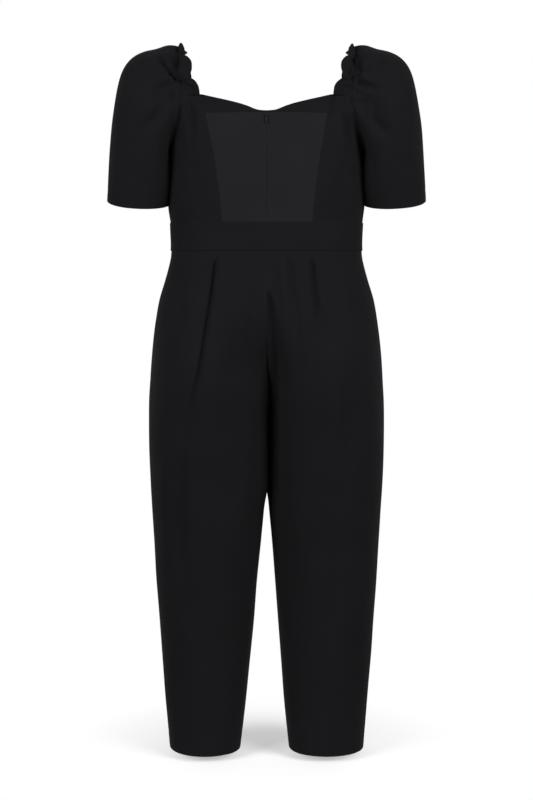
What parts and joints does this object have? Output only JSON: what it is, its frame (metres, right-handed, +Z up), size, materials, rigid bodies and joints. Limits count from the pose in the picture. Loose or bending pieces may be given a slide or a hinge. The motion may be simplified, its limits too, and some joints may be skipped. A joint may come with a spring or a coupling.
{
  "type": "jumpsuit",
  "caption": "Hollow jumpsuit with short puffed sleeves, gathered shoulders, an inset back with a concealed zip, a waistband and tapered cropped legs, filled out as if worn.",
  "frame": {"origin": "between the two shoulder tops, on the garment's middle plane, where the wearer's shoulders hold it up", "axes": "+Z up along the garment, +Y toward its front (the picture shows the back, which faces -Y), +X toward the right of the picture"},
  "size_m": [0.599, 0.28, 1.3156],
  "materials": {
    "crepe": "matte crepe, black",
    "inset_cloth": "finer matte cloth, a little lighter black",
    "zip_tape": "woven tape, black",
    "zip_metal": "dark lacquer"
  },
  "bodies": {
    "garment": {"bodice_front": "crepe", "waistband_front": "crepe", "side_back_left": "crepe", "side_back_right": "crepe", "neck_band_left": "crepe", "neck_band_right": "crepe", "shoulder_ruffle_left": "crepe", "shoulder_ruffle_right": "crepe", "sleeve_left": "crepe", "sleeve_right": "crepe", "waistband_back_left": "crepe", "waistband_back_right": "crepe", "trouser_back_left": "crepe", "trouser_back_right": "crepe", "trouser_front_left": "crepe", "trouser_front_right": "crepe", "pocket_facing_left": "crepe", "pocket_facing_right": "crepe", "inset_left": "inset_cloth", "zip_tape_left": "zip_tape", "inset_right": "inset_cloth", "zip_tape_right": "zip_tape", "zip_slider": "zip_metal"},
    "pull": {"zip_pull": "zip_metal"}
  },
  "joints": [
    {"name": "pull_swing", "type": "hinge", "parent": "garment", "child": "pull", "pos_m": [0, -0.10551, -0.13271], "axis": [-1, 0, 0], "range_deg": [0, 150]}
  ]
}
